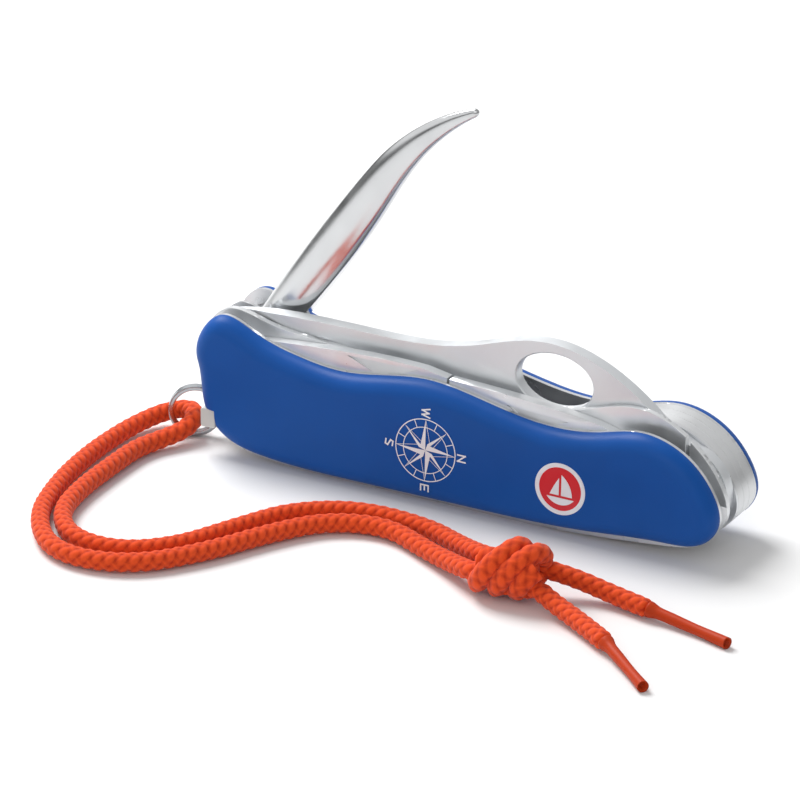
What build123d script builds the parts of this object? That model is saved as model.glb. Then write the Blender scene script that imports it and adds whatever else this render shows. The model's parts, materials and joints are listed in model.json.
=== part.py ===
"""Rigging knife: 111 mm folding sailor's knife with scales, springs, tools, key ring and lanyard.

Millimetres. X runs along the handle towards the blade's pivot, Y across it (front scale at -Y),
Z up from the edge that the knife stands on. The origin is the middle of that resting edge.
"""

import os
from math import cos, pi, radians, sin, tan

from build123d import *

os.makedirs("parts", exist_ok=True)

# ---------------------------------------------------------------- layers across the handle (Y)
SCALE_THICKNESS = 3.4
FRONT_LINER = (-7.9, -7.1)
OPENER_LAYER = (-7.1, -4.8)
LOCK_PLATE = (-4.8, -3.5)
BLADE_LAYER = (-3.5, -0.6)
MIDDLE_LINER = (-0.6, 0.2)
SPIKE_LAYER = (0.2, 7.1)
BACK_LINER = (7.1, 7.9)
SIDE_PLAY = 0.05
SPIKE_PLAY = 0.2

# ---------------------------------------------------------------- pivots, rivets and fits (X, Z)
LEFT_PIVOT = (-47.0, 18.0)
RIGHT_PIVOT = (46.0, 12.0)
RIVET_SPOTS = [(-36.0, 4.0), (0.0, 4.2), (26.0, 4.5)]
PIN_RADIUS = 1.5
PIN_HOLE_RADIUS = 1.54
PIN_CHAMFER = 0.25
BUSH_RADIUS = 2.6
BUSH_HEIGHT = 1.2
RIVET_HEAD_RADIUS = 2.0
RIVET_HEAD_HEIGHT = 0.9
POCKET_CLEARANCE = 0.1

# ---------------------------------------------------------------- scales and what they hold
SCALE_ROUNDING = 3.2
FLOOR_CUT = 100.0
BADGE_SPOT = (24.4, 10.3)
BADGE_RADIUS = 5.2
BADGE_RIM_WIDTH = 0.85
BADGE_DEPTH = 0.7
BADGE_PROUD = 0.08
BADGE_RIM_ROUNDING = 0.06
SLOT_ANGLE = 1.5
SLOT_MOUTH = (-53.0, 7.4)
SLOT_LENGTH = 46.0
SLOT_HEIGHT = 3.7
SLOT_DEPTH = 2.0
PICK_HEAD_HEIGHT = 3.9
PICK_LENGTH = 42.0
PICK_PLAY = 0.15
PICK_NOTCH_LENGTH = 10.0
PICK_NOTCH_REACH = 3.5
PICK_HEAD_ROUNDING = 0.5
PICK_HEAD_SPAN = (0.0, 3.2)
PICK_HEAD_DEPTHS = (0.15, 2.55)
STEM_HEIGHT = 3.2
STEM_DEPTHS = (0.25, 1.75)
TWEEZER_ARMS = [("tweezers_inner_arm", (0.2, 0.65)), ("tweezers_outer_arm", (1.35, 1.8))]

# ---------------------------------------------------------------- tools
TANG_RADIUS_OPENER = 7.0
TANG_RADIUS_CAN = 6.0
TANG_RADIUS_BLADE = 8.8
TANG_RADIUS_SPIKE = 7.6
BLADE_SWEEP_RADIUS = 13.9
SPRING_GAP = 0.35
SPRING_END = 50.0
HOLE_CENTRE = (18.7, 27.8)
HOLE_HALF = (8.0, 5.5)
HOLE_CHAMFER = 0.25
GRIND_HEIGHT = 9.0
EDGE_THICKNESS = 0.3
GRIND_OVERCUT = 0.02
NICK_DEPTH = 0.6
NICK_HEIGHT = 2.9
STRIP_HEIGHT = 7.2
PAST_END = 60.0
PAST_EDGE = -1.0

# ---------------------------------------------------------------- ring and lanyard
RING_TURN = 27.6
RING_RADIUS = 4.75
RING_WIRE = (0.9, 1.5)
RING_WIRE_ROUNDING = 0.25
LUG_EYE = (-53.4, -2.05, 5.5)
LUG_EYE_RADIUS = 1.3
LUG_WIDTH = 4.6
LUG_THICKNESS = 1.2
CORD_DIAMETER = 4.0
TIP_DIAMETER = 2.1
KNOT_LENGTH = 16.0
KNOT_DIAMETER = 12.0
KNOT_CENTRE = (28.0, -38.2)
KNOT_TURN = 4.0
BOUNDARY_GAP = 0.05
ARC_SHARE = 0.45


def layer_plane(y_back):
    """Sketch plane that faces the front scale: local x is +X and local y is +Z."""
    return Plane.XZ.offset(-y_back)


def save(builder, name):
    """Label a finished piece and write its STEP file."""
    builder.part.label = name
    export_step(builder.part, f"parts/{name}.step")


TOP_POINTS = [
    (-54.5, 18.5), (-53.9, 24.4), (-50.0, 28.3), (-42.4, 26.1), (-33.0, 23.3), (-24.0, 22.3), (-6.0, 24.6),
    (6.5, 22.9), (19.5, 20.9), (30.0, 21.8), (39.3, 23.7), (48.0, 21.1), (53.6, 15.4), (55.5, 8.6),
]
LINER_POINTS = TOP_POINTS + [
    (52.4, 4.3), (44.0, 2.0), (28.0, 0.5), (2.0, -0.25), (-24.0, -0.3), (-40.0, 0.6), (-48.2, 2.9),
    (-52.6, 8.4),
]
SCALE_POINTS = TOP_POINTS + [
    (53.2, 4.9), (45.0, 3.1), (28.0, 1.7), (2.0, 1.0), (-24.0, 0.8), (-40.0, 1.5), (-48.4, 4.0),
    (-52.6, 9.0),
]
LOCK_PLATE_POINTS = [
    (-55.3, 18.5), (-54.3, 24.9), (-50.2, 28.5), (-42.6, 27.5), (-31.0, 26.0), (-16.0, 24.9), (2.0, 23.6),
    (17.0, 23.1), (24.5, 24.0), (34.0, 26.7), (41.5, 26.0), (49.0, 21.4), (53.9, 15.4), (55.4, 8.6),
    (52.2, 4.5), (44.0, 2.2), (28.0, 0.8), (2.0, 0.15), (-24.0, 0.1), (-40.0, 0.9), (-48.4, 3.1),
    (-52.8, 8.4),
]


def closed_profile(points):
    """Area inside one smooth closed curve."""
    with BuildSketch() as profile:
        with BuildLine():
            Spline(*points, periodic=True)
        make_face()
    return profile.sketch


def flat_bottomed_profile(points):
    """The same area cut off at Z = 0, where the knife stands."""
    with BuildSketch() as profile:
        add(closed_profile(points))
        with Locations((0, -FLOOR_CUT / 2)):
            Rectangle(2 * FLOOR_CUT, FLOOR_CUT, mode=Mode.SUBTRACT)
    return profile.sketch


def hole_spots():
    """Places of every pin and rivet hole, as locations in a layer plane."""
    return Locations(LEFT_PIVOT, RIGHT_PIVOT, *RIVET_SPOTS)


def strip_under(top_line, pivots_and_radii):
    """Part of the handle profile below top_line, hollowed round the tangs that turn above it."""
    with BuildSketch() as strip:
        add(flat_bottomed_profile(LINER_POINTS))
        with BuildSketch(mode=Mode.INTERSECT):
            with BuildLine():
                Polyline(*top_line, close=True)
            make_face()
        for pivot, radius in pivots_and_radii:
            with Locations(pivot):
                Circle(radius + SPRING_GAP, mode=Mode.SUBTRACT)
        with hole_spots():
            Circle(PIN_HOLE_RADIUS, mode=Mode.SUBTRACT)
    return strip.sketch


# ================================================================ scales
def make_scale(side):
    """Moulded scale: side is -1 for the front one and +1 for the back one."""
    inner = side * BACK_LINER[1]
    outer = inner + side * SCALE_THICKNESS
    with BuildPart() as scale:
        with BuildSketch(layer_plane(max(inner, outer))):
            add(closed_profile(SCALE_POINTS))
        extrude(amount=SCALE_THICKNESS)
        outer_face = scale.faces().filter_by(Axis.Y).sort_by(Axis.Y)[0 if side < 0 else -1]
        fillet(outer_face.outer_wire().edges(), SCALE_ROUNDING)
        bush_depth = BUSH_HEIGHT + POCKET_CLEARANCE
        with BuildSketch(layer_plane(inner if side < 0 else inner + bush_depth)):
            with Locations(LEFT_PIVOT, RIGHT_PIVOT):
                Circle(BUSH_RADIUS + POCKET_CLEARANCE)
        extrude(amount=bush_depth, mode=Mode.SUBTRACT)
        head_depth = RIVET_HEAD_HEIGHT + POCKET_CLEARANCE
        with BuildSketch(layer_plane(inner if side < 0 else inner + head_depth)):
            with Locations(*RIVET_SPOTS):
                Circle(RIVET_HEAD_RADIUS + POCKET_CLEARANCE)
        extrude(amount=head_depth, mode=Mode.SUBTRACT)
        with BuildSketch(layer_plane(inner if side < 0 else inner + SLOT_DEPTH)):
            with Locations(Location((*SLOT_MOUTH, 0), (0, 0, SLOT_ANGLE))):
                Rectangle(2 * SLOT_LENGTH, SLOT_HEIGHT)
        extrude(amount=SLOT_DEPTH, mode=Mode.SUBTRACT)
        with BuildSketch(layer_plane(max(inner, outer))):
            with Locations(Location((*SLOT_MOUTH, 0), (0, 0, SLOT_ANGLE))):
                with Locations((PICK_NOTCH_REACH - PICK_NOTCH_LENGTH / 2, 0)):
                    Rectangle(PICK_NOTCH_LENGTH, PICK_HEAD_HEIGHT + 2 * PICK_PLAY)
        extrude(amount=SCALE_THICKNESS, mode=Mode.SUBTRACT)
        if side < 0:
            with BuildSketch(layer_plane(outer + BADGE_DEPTH)):
                with Locations(BADGE_SPOT):
                    Circle(BADGE_RADIUS)
            extrude(amount=BADGE_DEPTH, mode=Mode.SUBTRACT)
    return scale


save(make_scale(-1), "front_scale")
save(make_scale(1), "back_scale")

# ================================================================ badge in the front scale
FACE_Y = -(BACK_LINER[1] + SCALE_THICKNESS)

with BuildPart() as badge_rim:
    with BuildSketch(layer_plane(FACE_Y + BADGE_DEPTH)):
        with Locations(BADGE_SPOT):
            Circle(BADGE_RADIUS)
            Circle(BADGE_RADIUS - BADGE_RIM_WIDTH, mode=Mode.SUBTRACT)
    extrude(amount=BADGE_DEPTH + BADGE_PROUD)
    fillet(badge_rim.faces().sort_by(Axis.Y)[0].edges(), BADGE_RIM_ROUNDING)
save(badge_rim, "badge_rim")

with BuildPart() as badge_field:
    with BuildSketch(layer_plane(FACE_Y + BADGE_DEPTH)):
        with Locations(BADGE_SPOT):
            Circle(BADGE_RADIUS - BADGE_RIM_WIDTH)
    extrude(amount=BADGE_DEPTH)
save(badge_field, "badge_field")

badge_plane = Plane(origin=(BADGE_SPOT[0], FACE_Y, BADGE_SPOT[1]), x_dir=(1, 0, 0), z_dir=(0, -1, 0))
with BuildPart() as badge_sail:
    with BuildSketch(badge_plane):
        with BuildLine():
            Line((0.25, -1.3), (0.25, 2.9))
            ThreePointArc((0.25, 2.9), (1.9, 1.0), (2.5, -1.3))
            Line((2.5, -1.3), (0.25, -1.3))
        make_face()
        with BuildLine():
            Line((-0.25, -1.3), (-0.25, 2.2))
            ThreePointArc((-0.25, 2.2), (-1.2, 0.6), (-2.1, -1.3))
            Line((-2.1, -1.3), (-0.25, -1.3))
        make_face()
        with BuildLine():
            Line((-2.7, -1.8), (2.9, -1.8))
            ThreePointArc((2.9, -1.8), (0.1, -3.2), (-2.7, -1.8))
        make_face()
    extrude(amount=BADGE_PROUD)
save(badge_sail, "badge_sail")


# ================================================================ liners and the lock plate
def make_liner(layer):
    """Thin plate that stands proud of the scales along the bottom, drilled for pins and rivets."""
    with BuildPart() as liner:
        with BuildSketch(layer_plane(layer[1])):
            add(flat_bottomed_profile(LINER_POINTS))
            with hole_spots():
                Circle(PIN_HOLE_RADIUS, mode=Mode.SUBTRACT)
        extrude(amount=layer[1] - layer[0])
    return liner


for liner_name, liner_layer in [
    ("front_liner", FRONT_LINER),
    ("middle_liner", MIDDLE_LINER),
    ("back_liner", BACK_LINER),
]:
    save(make_liner(liner_layer), liner_name)

LOCK_SLOT_WIDTH = 0.9
LOCK_BAR_END = 47.1
LOCK_BAR_ROOT = 8.0
LOCK_SLOT_Z = 17.6
LOCK_SLOT_EYE = 1.4
ABOVE_PLATE = 30.0

with BuildPart() as lock_liner:
    with BuildSketch(layer_plane(LOCK_PLATE[1])):
        add(flat_bottomed_profile(LOCK_PLATE_POINTS))
        with hole_spots():
            Circle(PIN_HOLE_RADIUS, mode=Mode.SUBTRACT)
        with BuildLine():
            Polyline((LOCK_BAR_ROOT, LOCK_SLOT_Z), (LOCK_BAR_END, LOCK_SLOT_Z), (LOCK_BAR_END, ABOVE_PLATE))
            offset(amount=LOCK_SLOT_WIDTH / 2, kind=Kind.INTERSECTION)
        make_face(mode=Mode.SUBTRACT)
        with Locations((LOCK_BAR_ROOT, LOCK_SLOT_Z)):
            Circle(LOCK_SLOT_EYE, mode=Mode.SUBTRACT)
    extrude(amount=LOCK_PLATE[1] - LOCK_PLATE[0])
save(lock_liner, "lock_liner")

# ================================================================ springs and spacers
OPENER_TANGS = [(LEFT_PIVOT, TANG_RADIUS_OPENER), (RIGHT_PIVOT, TANG_RADIUS_CAN)]
with BuildPart() as opener_spring:
    with BuildSketch(layer_plane(OPENER_LAYER[1] - SIDE_PLAY)):
        add(strip_under(
            [
                (-PAST_END, PAST_EDGE), (-PAST_END, 10.8), (-39.0, 10.8), (-31.0, STRIP_HEIGHT),
                (SPRING_END, STRIP_HEIGHT), (SPRING_END, PAST_EDGE),
            ],
            OPENER_TANGS,
        ))
    extrude(amount=OPENER_LAYER[1] - OPENER_LAYER[0] - 2 * SIDE_PLAY)
save(opener_spring, "opener_spring")

BLADE_SWEEP = [(RIGHT_PIVOT, BLADE_SWEEP_RADIUS)]
SPACER_LEFT = -30.0
with BuildPart() as blade_spacer:
    with BuildSketch(layer_plane(BLADE_LAYER[1])):
        add(strip_under(
            [
                (SPACER_LEFT, PAST_EDGE), (SPACER_LEFT, STRIP_HEIGHT),
                (RIGHT_PIVOT[0], STRIP_HEIGHT), (RIGHT_PIVOT[0], PAST_EDGE),
            ],
            BLADE_SWEEP,
        ))
    extrude(amount=BLADE_LAYER[1] - BLADE_LAYER[0])
save(blade_spacer, "blade_spacer")

SPIKE_SPRINGS = 3
SPRING_THICKNESS = (SPIKE_LAYER[1] - SPIKE_LAYER[0]) / SPIKE_SPRINGS
SPIKE_TANG = [(LEFT_PIVOT, TANG_RADIUS_SPIKE)]


def make_spike_spring(number):
    """One of the leaf springs that stand side by side under the marlinspike."""
    with BuildPart() as spring:
        with BuildSketch(layer_plane(SPIKE_LAYER[0] + (number + 1) * SPRING_THICKNESS)):
            add(strip_under(
                [
                    (-PAST_END, PAST_EDGE), (-PAST_END, 10.2), (-39.0, 10.2), (-30.0, STRIP_HEIGHT),
                    (28.5, STRIP_HEIGHT), (31.5, PAST_END), (PAST_END, PAST_END), (PAST_END, PAST_EDGE),
                ],
                SPIKE_TANG,
            ))
        extrude(amount=SPRING_THICKNESS)
    return spring


for spring_number in range(SPIKE_SPRINGS):
    save(make_spike_spring(spring_number), f"spike_spring_{spring_number + 1}")

# ================================================================ key ring lug in the blade's layer
LUG_TAB_ROOT = -48.0
LUG_END = SPACER_LEFT - 0.1

with BuildPart() as ring_lug:
    with BuildSketch(layer_plane(BLADE_LAYER[1])):
        add(strip_under(
            [
                (-PAST_END, PAST_EDGE), (-PAST_END, STRIP_HEIGHT),
                (LUG_END, STRIP_HEIGHT), (LUG_END, PAST_EDGE),
            ],
            [],
        ))
    extrude(amount=BLADE_LAYER[1] - BLADE_LAYER[0])
    with BuildSketch(Plane.XY.offset(LUG_EYE[2] - LUG_THICKNESS / 2)):
        with Locations(LUG_EYE[:2]):
            Circle(LUG_WIDTH / 2)
        with Locations(((LUG_EYE[0] + LUG_TAB_ROOT) / 2, LUG_EYE[1])):
            Rectangle(LUG_TAB_ROOT - LUG_EYE[0], BLADE_LAYER[1] - BLADE_LAYER[0])
    extrude(amount=LUG_THICKNESS)
    with Locations(Location(LUG_EYE)):
        Cylinder(LUG_EYE_RADIUS, 3 * LUG_THICKNESS, mode=Mode.SUBTRACT)
save(ring_lug, "ring_lug")


# ================================================================ pins, bushes and rivets
def y_cylinder(spot, radius, y_front, y_back):
    """Extrude a disc at an (X, Z) spot from y_back to y_front, inside the current part."""
    with BuildSketch(layer_plane(y_back)) as disc:
        with Locations(spot):
            Circle(radius)
    extrude(disc.sketch, amount=y_back - y_front)


PIN_END = BACK_LINER[1] + BUSH_HEIGHT
for pin_name, pin_spot in [("left_pivot_pin", LEFT_PIVOT), ("right_pivot_pin", RIGHT_PIVOT)]:
    with BuildPart() as pivot_pin:
        y_cylinder(pin_spot, PIN_RADIUS, -PIN_END, PIN_END)
        chamfer(pivot_pin.edges().filter_by(GeomType.CIRCLE), PIN_CHAMFER)
    save(pivot_pin, pin_name)

for bush_name, bush_spot, bush_side in [
    ("front_left_bush", LEFT_PIVOT, -1),
    ("front_right_bush", RIGHT_PIVOT, -1),
    ("back_left_bush", LEFT_PIVOT, 1),
    ("back_right_bush", RIGHT_PIVOT, 1),
]:
    bush_ends = sorted((bush_side * BACK_LINER[1], bush_side * PIN_END))
    with BuildPart() as bush:
        with BuildSketch(layer_plane(bush_ends[1])):
            with Locations(bush_spot):
                Circle(BUSH_RADIUS)
                Circle(PIN_RADIUS, mode=Mode.SUBTRACT)
        extrude(amount=BUSH_HEIGHT)
    save(bush, bush_name)

RIVET_END = BACK_LINER[1] + RIVET_HEAD_HEIGHT
with BuildPart() as spring_rivets:
    for rivet_spot in RIVET_SPOTS:
        y_cylinder(rivet_spot, PIN_RADIUS, -RIVET_END, RIVET_END)
        y_cylinder(rivet_spot, RIVET_HEAD_RADIUS, -RIVET_END, -BACK_LINER[1])
        y_cylinder(rivet_spot, RIVET_HEAD_RADIUS, BACK_LINER[1], RIVET_END)
save(spring_rivets, "spring_rivets")

# ================================================================ main blade (closed, tip at -X)
BLADE_BACK = BLADE_LAYER[1] - SIDE_PLAY
BLADE_FRONT = BLADE_LAYER[0] + SIDE_PLAY
BLADE_MIDDLE = (BLADE_BACK + BLADE_FRONT) / 2
BLADE_TIP = (-49.4, 27.9)
HEEL = (33.0, 10.6)
BELLY = (-16.0, 11.8)
EDGE_CURVE = [(-38.0, 17.6), (-46.0, 23.4)]
BEYOND_TIP = (-56.0, 34.5)
BELOW_BLADE = -12.0


def below_edge(rise, y):
    """Area on the cutting side of the edge line, moved up by rise, in the plane at y."""
    edge_points = [(x, z + rise) for x, z in (BELLY, *EDGE_CURVE, BEYOND_TIP)]
    heel = (HEEL[0], HEEL[1] + rise)
    with BuildSketch(layer_plane(y)) as area:
        with BuildLine():
            Line(heel, edge_points[0])
            Spline(*edge_points)
            Polyline(edge_points[-1], (BEYOND_TIP[0], BELOW_BLADE), (HEEL[0], BELOW_BLADE), heel)
        make_face()
    return area.sketch


with BuildPart() as main_blade:
    with BuildSketch(layer_plane(BLADE_BACK)):
        with BuildLine():
            Spline(
                BLADE_TIP, (-35.0, 29.1), (-20.0, 29.2), (-8.0, 29.6), (2.0, 31.6), (10.0, 34.2),
                (18.0, 35.3), (27.0, 33.3), (40.6, 24.6),
            )
            Polyline((40.6, 24.6), RIGHT_PIVOT, (37.4, 10.0), (34.6, 13.4), HEEL, BELLY)
            Spline(BELLY, *EDGE_CURVE, BLADE_TIP)
        make_face()
        with BuildLine():
            Polyline((40.6, 24.6), (52.0, 18.4), RIGHT_PIVOT, close=True)
        make_face()
        with Locations(RIGHT_PIVOT):
            Circle(TANG_RADIUS_BLADE)
            Circle(PIN_HOLE_RADIUS, mode=Mode.SUBTRACT)
        with Locations(HOLE_CENTRE):
            Ellipse(*HOLE_HALF, mode=Mode.SUBTRACT)
    extrude(amount=BLADE_BACK - BLADE_FRONT)
    chamfer(main_blade.edges().filter_by(GeomType.ELLIPSE), HOLE_CHAMFER)
    for flank, flank_y in [(-1, BLADE_FRONT), (1, BLADE_BACK)]:
        edge_plane = BLADE_MIDDLE + flank * EDGE_THICKNESS / 2
        loft([below_edge(0.0, edge_plane), below_edge(GRIND_HEIGHT, flank_y + flank * GRIND_OVERCUT)],
             ruled=True, mode=Mode.SUBTRACT)
save(main_blade, "main_blade")

# ================================================================ cap lifter with large screwdriver
OPENER_BACK = OPENER_LAYER[1] - SIDE_PLAY
OPENER_FRONT = OPENER_LAYER[0] + SIDE_PLAY
OPENER_THICKNESS = OPENER_BACK - OPENER_FRONT


def nail_nick(top_left, top_right, lowest_x):
    """Cut a thumbnail recess, deepest along its upper edge and running out at its lowest corner."""
    rise = (top_right[1] - top_left[1]) / (top_right[0] - top_left[0])
    slope = NICK_DEPTH / NICK_HEIGHT
    corner = (top_left[0], OPENER_FRONT + NICK_DEPTH, top_left[1])
    length = top_right[0] - top_left[0]
    lowest = (lowest_x - top_left[0], -NICK_HEIGHT)
    with BuildSketch(Plane(origin=corner, x_dir=(1, 0, rise), z_dir=(-rise * slope, -1, slope))) as nick:
        with BuildLine():
            Polyline((0, 0), (length, 0), lowest, close=True)
        make_face()
    extrude(nick.sketch, amount=2 * NICK_DEPTH, mode=Mode.SUBTRACT)


with BuildPart() as screwdriver_opener:
    with BuildSketch(layer_plane(OPENER_BACK)):
        with BuildLine():
            Spline((-44.0, 24.3), (-30.0, 25.6), (-14.0, 26.3), (-7.0, 26.2))
            Polyline(
                (-7.0, 26.2), (-1.9, 25.3), (-1.9, 19.2), (-8.2, 18.4), (-10.6, 15.6), (-13.6, 15.2),
                (-15.2, 18.6), (-17.6, 19.2), (-19.4, 15.8), (-30.0, 14.6), (-41.6, 13.8), (-44.0, 24.3),
            )
        make_face()
        with Locations(LEFT_PIVOT):
            Circle(TANG_RADIUS_OPENER)
            Circle(PIN_HOLE_RADIUS, mode=Mode.SUBTRACT)
    extrude(amount=OPENER_THICKNESS)
    nail_nick((-23.2, 25.3), (-7.9, 25.5), -16.0)
save(screwdriver_opener, "screwdriver_opener")

# ================================================================ can opener with small screwdriver
with BuildPart() as can_opener:
    with BuildSketch(layer_plane(OPENER_BACK)):
        with BuildLine():
            Spline((-1.4, 25.2), (9.2, 24.8), (20.7, 24.0), (32.0, 22.3), (42.0, 16.6))
            Polyline(
                (42.0, 16.6), (41.0, 8.9), (26.0, 12.6), (18.4, 13.4), (16.0, 17.4), (12.4, 17.8),
                (9.6, 14.4), (6.4, 16.8), (4.6, 21.4), (-1.4, 22.0), (-1.4, 25.2),
            )
        make_face()
        with Locations(RIGHT_PIVOT):
            Circle(TANG_RADIUS_CAN)
            Circle(PIN_HOLE_RADIUS, mode=Mode.SUBTRACT)
    extrude(amount=OPENER_THICKNESS)
    nail_nick((10.6, 22.6), (23.6, 21.9), 17.0)
save(can_opener, "can_opener")

# ================================================================ marlinspike (open, as at rest)
SPIKE_CENTRE_Y = (SPIKE_LAYER[0] + SPIKE_LAYER[1]) / 2
SPIKE_TANG_THICKNESS = SPIKE_LAYER[1] - SPIKE_LAYER[0] - 2 * SPIKE_PLAY
# centre line X and Z, direction above +X in degrees, width and thickness
SPIKE_SECTIONS = [
    (-40.2, 29.0, 58.0, 9.4, 6.4),
    (-37.2, 33.8, 57.5, 9.3, 6.3),
    (-31.7, 42.3, 57.0, 9.0, 6.0),
    (-24.6, 53.1, 54.0, 8.1, 5.4),
    (-19.1, 61.5, 48.0, 6.7, 4.5),
    (-13.5, 67.7, 38.0, 4.8, 3.4),
    (-6.1, 73.3, 28.0, 2.5, 2.2),
    (-2.2, 75.0, 22.0, 1.0, 1.0),
]
TANG_ARM_LENGTH = 14.0
TANG_ARM_ANGLE = 58.0
TANG_ARM_WIDTH = 8.8

with BuildPart() as marlinspike:
    for spike_x, spike_z, heading, width, thickness in SPIKE_SECTIONS:
        across = (sin(radians(heading)), 0, -cos(radians(heading)))
        along = (cos(radians(heading)), 0, sin(radians(heading)))
        with BuildSketch(Plane(origin=(spike_x, SPIKE_CENTRE_Y, spike_z), x_dir=across, z_dir=along)):
            Ellipse(width / 2, thickness / 2)
    loft()
    with BuildSketch(layer_plane(SPIKE_CENTRE_Y + SPIKE_TANG_THICKNESS / 2)):
        with Locations(LEFT_PIVOT):
            Circle(TANG_RADIUS_SPIKE)
        with Locations(Location((*LEFT_PIVOT, 0), (0, 0, TANG_ARM_ANGLE))):
            with Locations((TANG_ARM_LENGTH / 2, 0)):
                Rectangle(TANG_ARM_LENGTH, TANG_ARM_WIDTH)
    extrude(amount=SPIKE_TANG_THICKNESS)
    with BuildSketch(layer_plane(SPIKE_CENTRE_Y + SPIKE_TANG_THICKNESS)):
        with Locations(LEFT_PIVOT):
            Circle(PIN_HOLE_RADIUS)
    extrude(amount=2 * SPIKE_TANG_THICKNESS, mode=Mode.SUBTRACT)
save(marlinspike, "marlinspike")


# ================================================================ toothpick and tweezers in their slots
def slot_box(side, x_from, x_to, height, y_from, y_to):
    """Bar along a scale's slot; x is measured from the slot's mouth and y from the liner, outwards."""
    y_ends = sorted((side * (BACK_LINER[1] + y_from), side * (BACK_LINER[1] + y_to)))
    with BuildSketch(layer_plane(y_ends[1])) as bar:
        with Locations(Location((*SLOT_MOUTH, 0), (0, 0, SLOT_ANGLE))):
            with Locations(((x_from + x_to) / 2, 0)):
                Rectangle(x_to - x_from, height)
    extrude(bar.sketch, amount=y_ends[1] - y_ends[0])


with BuildPart() as toothpick_head:
    slot_box(-1, *PICK_HEAD_SPAN, PICK_HEAD_HEIGHT, *PICK_HEAD_DEPTHS)
    fillet(toothpick_head.edges().filter_by(Axis.Y), PICK_HEAD_ROUNDING)
save(toothpick_head, "toothpick_head")

with BuildPart() as toothpick_stem:
    slot_box(-1, PICK_HEAD_SPAN[1], PICK_LENGTH, STEM_HEIGHT, *STEM_DEPTHS)
save(toothpick_stem, "toothpick_stem")

with BuildPart() as tweezers_head:
    slot_box(1, *PICK_HEAD_SPAN, PICK_HEAD_HEIGHT, *PICK_HEAD_DEPTHS)
    fillet(tweezers_head.edges().filter_by(Axis.Y), PICK_HEAD_ROUNDING)
save(tweezers_head, "tweezers_head")

for arm_name, arm_span in TWEEZER_ARMS:
    with BuildPart() as tweezers_arm:
        slot_box(1, PICK_HEAD_SPAN[1], PICK_LENGTH, STEM_HEIGHT, *arm_span)
    save(tweezers_arm, arm_name)

# ================================================================ split key ring
ring_plane_x = (cos(radians(RING_TURN)), sin(radians(RING_TURN)))
RING_CENTRE = (
    LUG_EYE[0] - RING_RADIUS * ring_plane_x[0],
    LUG_EYE[1] - RING_RADIUS * ring_plane_x[1],
    LUG_EYE[2],
)
RING_AXIS = (ring_plane_x[1], -ring_plane_x[0], 0)
RING_GROOVE = 0.12

with BuildPart() as key_ring:
    with BuildSketch(Plane(origin=RING_CENTRE, x_dir=(0, 0, 1), z_dir=(*ring_plane_x, 0))):
        with Locations((RING_RADIUS, 0)):
            RectangleRounded(*RING_WIRE, RING_WIRE_ROUNDING)
            with Locations((RING_WIRE[0] / 2, 0), (-RING_WIRE[0] / 2, 0)):
                Rectangle(RING_GROOVE, RING_GROOVE, mode=Mode.SUBTRACT)
    revolve(axis=Axis(RING_CENTRE, RING_AXIS))
save(key_ring, "key_ring")

# ================================================================ lanyard, from the ring to its two tips
FLOOR = CORD_DIAMETER / 2 + BOUNDARY_GAP
TIP_FLOOR = TIP_DIAMETER / 2 + BOUNDARY_GAP
BIGHT_END = (-59.0, -11.6, 2.5)
OUTER_ROUTE = [
    BIGHT_END, (-57.2, -8.4, 3.0), (-57.3, -4.0, 4.6), (-60.9, -1.3, 4.0), (-65.2, -2.6, 2.9),
    (-67.6, -8.8, 2.3), (-68.6, -17.0, FLOOR), (-68.4, -28.0, FLOOR), (-66.6, -41.0, FLOOR),
    (-62.2, -56.0, FLOOR), (-51.5, -67.6, FLOOR), (-37.0, -65.6, FLOOR), (-27.6, -53.6, FLOOR),
    (-20.8, -39.0, FLOOR), (-14.2, -29.6, FLOOR), (-3.6, -26.2, FLOOR), (7.4, -31.8, FLOOR),
    (15.4, -36.4, 3.0), (22.4, -41.2, 4.8),
]
INNER_ROUTE = [
    BIGHT_END, (-60.6, -14.4, 2.06), (-62.1, -19.2, FLOOR), (-62.1, -28.0, FLOOR), (-61.7, -41.0, FLOOR),
    (-59.4, -52.0, FLOOR), (-52.2, -60.2, FLOOR), (-41.4, -60.8, FLOOR), (-33.2, -53.4, FLOOR),
    (-28.0, -41.0, FLOOR), (-22.4, -29.0, FLOOR), (-11.4, -22.0, FLOOR), (3.2, -22.8, FLOOR),
    (12.8, -28.6, 3.0), (21.6, -35.4, 5.6),
]
UPPER_TAIL = [(32.4, -34.6, 5.6), (38.6, -32.3, 3.9), (46.4, -31.8, FLOOR), (54.0, -33.8, FLOOR)]
LOWER_TAIL = [(33.0, -39.2, 4.2), (38.8, -41.4, 2.5), (46.4, -45.4, FLOOR), (53.4, -50.2, FLOOR)]
UPPER_TIP = [(54.0, -33.8, FLOOR), (62.6, -34.9, TIP_FLOOR), (71.6, -37.7, TIP_FLOOR)]
LOWER_TIP = [(53.4, -50.2, FLOOR), (60.0, -55.4, TIP_FLOOR), (66.2, -61.2, TIP_FLOOR)]


def fillet_radii(route):
    """Arc at each corner that takes the same share of the shorter of its two runs."""
    radii = []
    for before, corner, after in zip(route, route[1:], route[2:]):
        run_in = Vector(corner) - Vector(before)
        run_out = Vector(after) - Vector(corner)
        half_turn = radians(run_in.get_angle(run_out)) / 2
        radii.append(ARC_SHARE * min(run_in.length, run_out.length) / tan(half_turn))
    return radii


def make_cord(name, route, diameter):
    """Plain tube along straight runs joined by tangent arcs."""
    radii = fillet_radii(route)
    with BuildPart() as cord:
        with BuildLine():
            path = FilletPolyline(*route, radius=radii)
        with BuildSketch(Plane(origin=path @ 0, z_dir=path % 0)):
            Circle(diameter / 2)
        sweep(path=path)
    length = path.length
    section = pi * diameter**2 / 4
    print(name, "length", round(length, 1), "radii", [round(radius, 1) for radius in radii])
    print("   volume / (section x length)", round(cord.part.volume / (section * length), 3))
    save(cord, name)


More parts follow.
